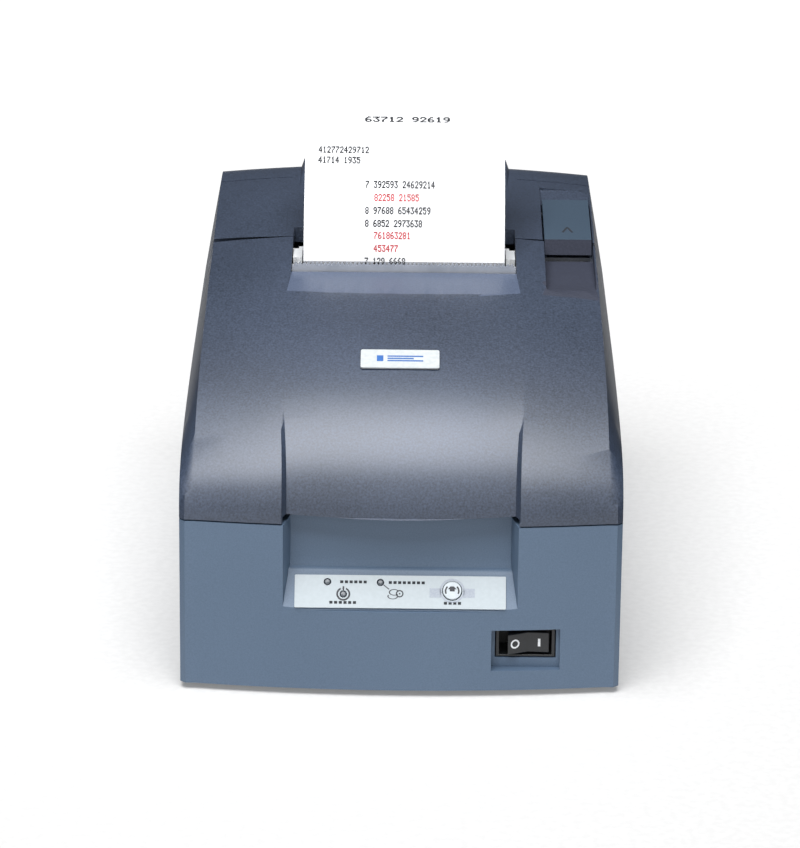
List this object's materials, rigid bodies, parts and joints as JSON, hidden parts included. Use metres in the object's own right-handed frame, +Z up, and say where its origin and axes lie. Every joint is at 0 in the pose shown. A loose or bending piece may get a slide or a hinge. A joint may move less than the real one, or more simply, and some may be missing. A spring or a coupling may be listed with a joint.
{
  "type": "receipt printer",
  "caption": "Desktop dot-matrix receipt printer with lifting front cover, hinged roll cover, tear bar, paper roll, feed button and power rocker.",
  "frame": {"origin": "on the resting surface, in the middle of the footprint", "axes": "+X to the printer's right seen from the front, +Y to its rear, +Z up; the front panel faces -Y"},
  "size_m": [0.16, 0.2485, 0.174],
  "materials": {
    "case_plastic": "fine moulded satin texture, blue-grey ABS",
    "cover_plastic": "moulded ABS with a fine metallic fleck, slate blue-grey",
    "lever_plastic": "satin moulded ABS",
    "black_plastic": "satin black moulding",
    "white_plastic": "smooth white acetal",
    "label_film": null,
    "led_lens": "unlit tinted lens",
    "steel": "zinc plated sheet and ground rod",
    "head_metal": "die-cast, finned",
    "rubber": "matt",
    "ink_ribbon": "inked woven nylon",
    "paper": "uncoated bond paper",
    "circuit_board": "solder resist over glass laminate"
  },
  "bodies": {
    "case": {"lower_case": "case_plastic", "base_plate": "steel", "foot_1": "rubber", "foot_2": "rubber", "foot_3": "rubber", "foot_4": "rubber", "base_screw_1": "steel", "base_screw_2": "steel", "base_screw_3": "steel", "base_screw_4": "steel", "panel_label": "label_film", "led_error": "led_lens", "led_paper_out": "led_lens", "led_power": "led_lens", "panel_board": "circuit_board", "switch_housing": "black_plastic", "chassis": "steel", "guide_shaft_front": "steel", "guide_shaft_rear": "steel", "tear_bar": "steel", "carriage_motor": "steel", "timing_belt": "rubber", "ribbon_cassette": "black_plastic", "ribbon_band": "ink_ribbon", "feed_motor": "steel", "paper_web": "paper", "roll_bin": "black_plastic", "main_board": "circuit_board", "interface_card": "steel", "data_connector": "black_plastic", "power_inlet": "black_plastic", "drawer_socket": "black_plastic", "card_screw_1": "steel", "card_screw_2": "steel", "hood_pin_left": "steel", "hood_pin_right": "steel", "cover_pin_left": "steel", "cover_pin_right": "steel"},
    "hood": {"front_cover": "cover_plastic", "badge": "label_film"},
    "deck": {"roll_cover": "cover_plastic", "lever_pin": "steel", "platen_frame": "white_plastic", "paper_strip": "paper"},
    "lever": {"open_lever": "lever_plastic"},
    "platen": {"platen_roller": "rubber", "platen_gear": "white_plastic"},
    "idler": {"idler_gear": "white_plastic"},
    "pinion": {"feed_pinion": "steel"},
    "roll": {"paper_roll": "paper"},
    "carriage": {"carriage": "black_plastic", "print_head": "head_metal"},
    "belt_drive": {"motor_pulley": "white_plastic"},
    "belt_idler": {"idler_pulley": "white_plastic"},
    "knob": {"ribbon_knob": "white_plastic"},
    "button": {"feed_button": "label_film"},
    "rocker": {"rocker": "black_plastic"}
  },
  "joints": [
    {"name": "front_cover_hinge", "type": "hinge", "parent": "case", "child": "hood", "pos_m": [0, 0.0126, 0.1239], "axis": [-1, 0, 0], "range_deg": [0, 42]},
    {"name": "roll_cover_hinge", "type": "hinge", "parent": "case", "child": "deck", "pos_m": [0, 0.1217, 0.095], "axis": [-1, 0, 0], "range_deg": [0, 75]},
    {"name": "lever_pivot", "type": "hinge", "parent": "deck", "child": "lever", "pos_m": [0.06295, 0.054, 0.12868], "axis": [-1, 0, 0], "range_deg": [0, 16], "stiffness_Nm_per_rad": 0.02},
    {"name": "paper_roll_spin", "type": "hinge", "parent": "case", "child": "roll", "pos_m": [0, 0.048, 0.081], "axis": [1, 0, 0], "continuous": true},
    {"name": "platen_spin", "type": "hinge", "parent": "deck", "child": "platen", "pos_m": [0, 0.002, 0.112], "axis": [1, 0, 0], "continuous": true},
    {"name": "idler_spin", "type": "hinge", "parent": "case", "child": "idler", "pos_m": [-0.0413, 0.002, 0.0963], "axis": [1, 0, 0], "continuous": true},
    {"name": "pinion_spin", "type": "hinge", "parent": "case", "child": "pinion", "pos_m": [-0.0413, 0.0144, 0.0913], "axis": [1, 0, 0], "continuous": true},
    {"name": "carriage_slide", "type": "slide", "parent": "case", "child": "carriage", "axis": [1, 0, 0], "range_m": [-0.0317, 0.0317]},
    {"name": "drive_pulley_spin", "type": "hinge", "parent": "case", "child": "belt_drive", "pos_m": [-0.05, -0.073, 0.064], "axis": [0, 1, 0], "range_deg": [-304, 304]},
    {"name": "idler_pulley_spin", "type": "hinge", "parent": "case", "child": "belt_idler", "pos_m": [0.05, -0.073, 0.064], "axis": [0, 1, 0], "range_deg": [-304, 304]},
    {"name": "ribbon_knob_spin", "type": "hinge", "parent": "case", "child": "knob", "pos_m": [-0.038, -0.058, 0.11], "axis": [0, 0, 1], "continuous": true},
    {"name": "feed_button_press", "type": "slide", "parent": "case", "child": "button", "axis": [0, 0.7772, -0.6292], "range_m": [0, 0.0005], "stiffness_N_per_m": 300},
    {"name": "rocker_tilt", "type": "hinge", "parent": "case", "child": "rocker", "pos_m": [0.0457, -0.1134, 0.01963], "axis": [0, 0, -1], "range_deg": [0, 20]}
  ],
  "couplings": [
    {"joint": "platen_spin", "follows": "paper_roll_spin", "ratio": -5.1748},
    {"joint": "idler_spin", "follows": "paper_roll_spin", "ratio": 3.5826},
    {"joint": "pinion_spin", "follows": "paper_roll_spin", "ratio": -8.4679},
    {"joint": "drive_pulley_spin", "follows": "carriage_slide", "rad_per_m": 166.67},
    {"joint": "idler_pulley_spin", "follows": "carriage_slide", "rad_per_m": 166.67}
  ]
}
